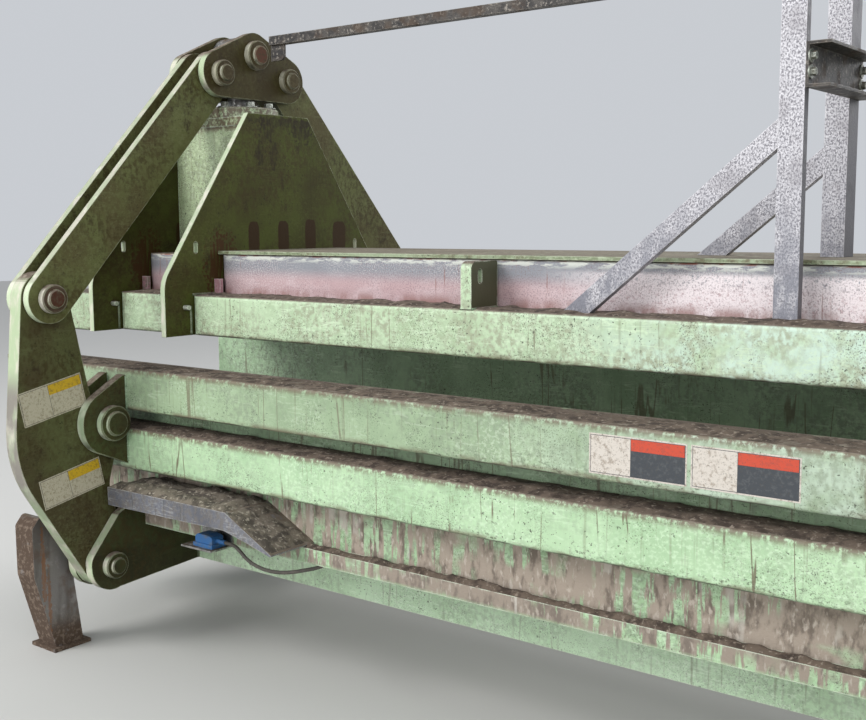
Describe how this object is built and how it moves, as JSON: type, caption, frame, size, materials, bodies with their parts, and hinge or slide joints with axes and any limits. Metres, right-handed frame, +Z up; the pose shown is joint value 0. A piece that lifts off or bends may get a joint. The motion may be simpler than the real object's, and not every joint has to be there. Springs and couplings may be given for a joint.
{
  "type": "horizontal recycling baler",
  "caption": "Horizontal channel baler with a press ram, a feed throat and a lever-and-link tensioner that squeezes the discharge channel's movable walls.",
  "frame": {"origin": "on the ground under the middle of the machine's box", "axes": "+X from the bale discharge end to the main cylinder, +Y to the side away from the sensor, +Z up"},
  "size_m": [7.26, 2.2106, 2.37],
  "materials": {
    "green_paint": "pale green machine enamel, worn and dirty",
    "tensioner_paint": "dark green enamel with bare worn edges",
    "primer_paint": "primer-grey and pink, streaked with rust",
    "hood_paint": "slate sheet, dusty",
    "bare_steel": "machined steel, dull",
    "rusty_steel": "rusted steel",
    "mill_steel": "mill scale, mottled",
    "dark_steel": "black steel",
    "leg_steel": "worn bare steel, caked with dirt",
    "blue_plastic": "moulded housing",
    "black_rubber": "cable jacket, dusty"
  },
  "bodies": {
    "root": {"base_rails": "green_paint", "chamber_floor": "green_paint", "lower_side_front": "green_paint", "lower_side_rear": "green_paint", "lower_bracket_front": "tensioner_paint", "lower_bracket_rear": "tensioner_paint", "base_pin_front": "green_paint", "base_pin_rear": "green_paint", "outrigger_leg_front": "leg_steel", "outrigger_leg_rear": "leg_steel", "ring_frame": "green_paint", "side_hinge_pin_front": "bare_steel", "side_hinge_pin_rear": "bare_steel", "top_hinge_pin": "bare_steel", "press_side_front": "green_paint", "press_side_rear": "green_paint", "feed_throat": "green_paint", "rear_crosshead": "green_paint", "main_barrel": "dark_steel", "sensor_hood": "hood_paint", "sensor_bracket": "bare_steel", "sensor": "blue_plastic", "sensor_cable": "black_rubber", "cable_grommet": "black_rubber"},
    "crosshead": {"crosshead_plates": "tensioner_paint", "crosshead_pin_front": "green_paint", "crosshead_pin_rear": "green_paint", "crosshead_top_pin": "rusty_steel", "tension_rod": "bare_steel"},
    "top_wall": {"platen": "green_paint", "edge_beams_front": "green_paint", "edge_beams_rear": "green_paint", "deck_beams": "primer_paint", "deck_plate": "green_paint", "gusset_discharge": "tensioner_paint", "gusset_infeed": "tensioner_paint", "cylinder_housing": "green_paint", "tension_barrel": "green_paint", "support_posts": "mill_steel", "support_braces": "mill_steel", "cross_bars": "dark_steel", "guard_rail": "dark_steel"},
    "ram": {"ram_head": "bare_steel", "ram_rod": "bare_steel"},
    "side_wall_front": {"upper_beam_front": "green_paint", "lower_beam_front": "green_paint", "side_liner_front": "green_paint", "side_ears_front": "green_paint"},
    "lever_front": {"lever_front": "tensioner_paint", "lever_top_pin_front": "rusty_steel", "lever_mid_pin_front": "green_paint"},
    "link_front": {"link_plates_front": "tensioner_paint"},
    "side_wall_rear": {"upper_beam_rear": "green_paint", "lower_beam_rear": "green_paint", "side_liner_rear": "green_paint", "side_ears_rear": "green_paint"},
    "lever_rear": {"lever_rear": "tensioner_paint", "lever_top_pin_rear": "rusty_steel", "lever_mid_pin_rear": "green_paint"},
    "link_rear": {"link_plates_rear": "tensioner_paint"}
  },
  "joints": [
    {"name": "crosshead_slide", "type": "slide", "parent": "top_wall", "child": "crosshead", "axis": [0, 0, 1], "range_m": [-0.015, 0.06]},
    {"name": "ram_slide", "type": "slide", "parent": "root", "child": "ram", "axis": [-1, 0, 0], "range_m": [0, 1.2]},
    {"name": "top_wall_hinge", "type": "hinge", "parent": "root", "child": "top_wall", "pos_m": [0.3, 0, 1.3], "axis": [0, -1, 0], "range_deg": [-0.0816, 0.3233]},
    {"name": "lever_hinge_front", "type": "hinge", "parent": "root", "child": "lever_front", "pos_m": [-2.9, -0.754, 0.34], "axis": [1, 0, 0], "range_deg": [-2.09, 0.52]},
    {"name": "link_hinge_front", "type": "hinge", "parent": "crosshead", "child": "link_front", "pos_m": [-2.9, -0.183, 2.194], "axis": [1, 0, 0], "range_deg": [-0.62, 2.49]},
    {"name": "side_wall_hinge_front", "type": "hinge", "parent": "root", "child": "side_wall_front", "pos_m": [0.3, -0.585, 0.881], "axis": [0, 0, 1], "range_deg": [-0.3517, 0.0887]},
    {"name": "lever_hinge_rear", "type": "hinge", "parent": "root", "child": "lever_rear", "pos_m": [-2.9, 0.754, 0.34], "axis": [1, 0, 0], "range_deg": [-0.52, 2.09]},
    {"name": "link_hinge_rear", "type": "hinge", "parent": "crosshead", "child": "link_rear", "pos_m": [-2.9, 0.183, 2.194], "axis": [1, 0, 0], "range_deg": [-2.49, 0.62]},
    {"name": "side_wall_hinge_rear", "type": "hinge", "parent": "root", "child": "side_wall_rear", "pos_m": [0.3, 0.585, 0.881], "axis": [0, 0, 1], "range_deg": [-0.0887, 0.3517]}
  ],
  "couplings": [
    {"joint": "top_wall_hinge", "follows": "crosshead_slide", "rad_per_m": 0.09375},
    {"joint": "lever_hinge_front", "follows": "crosshead_slide", "rad_per_m": -0.609},
    {"joint": "link_hinge_front", "follows": "crosshead_slide", "rad_per_m": 0.724},
    {"joint": "side_wall_hinge_front", "follows": "crosshead_slide", "rad_per_m": -0.102},
    {"joint": "lever_hinge_rear", "follows": "crosshead_slide", "rad_per_m": 0.609},
    {"joint": "link_hinge_rear", "follows": "crosshead_slide", "rad_per_m": -0.724},
    {"joint": "side_wall_hinge_rear", "follows": "crosshead_slide", "rad_per_m": 0.102}
  ]
}
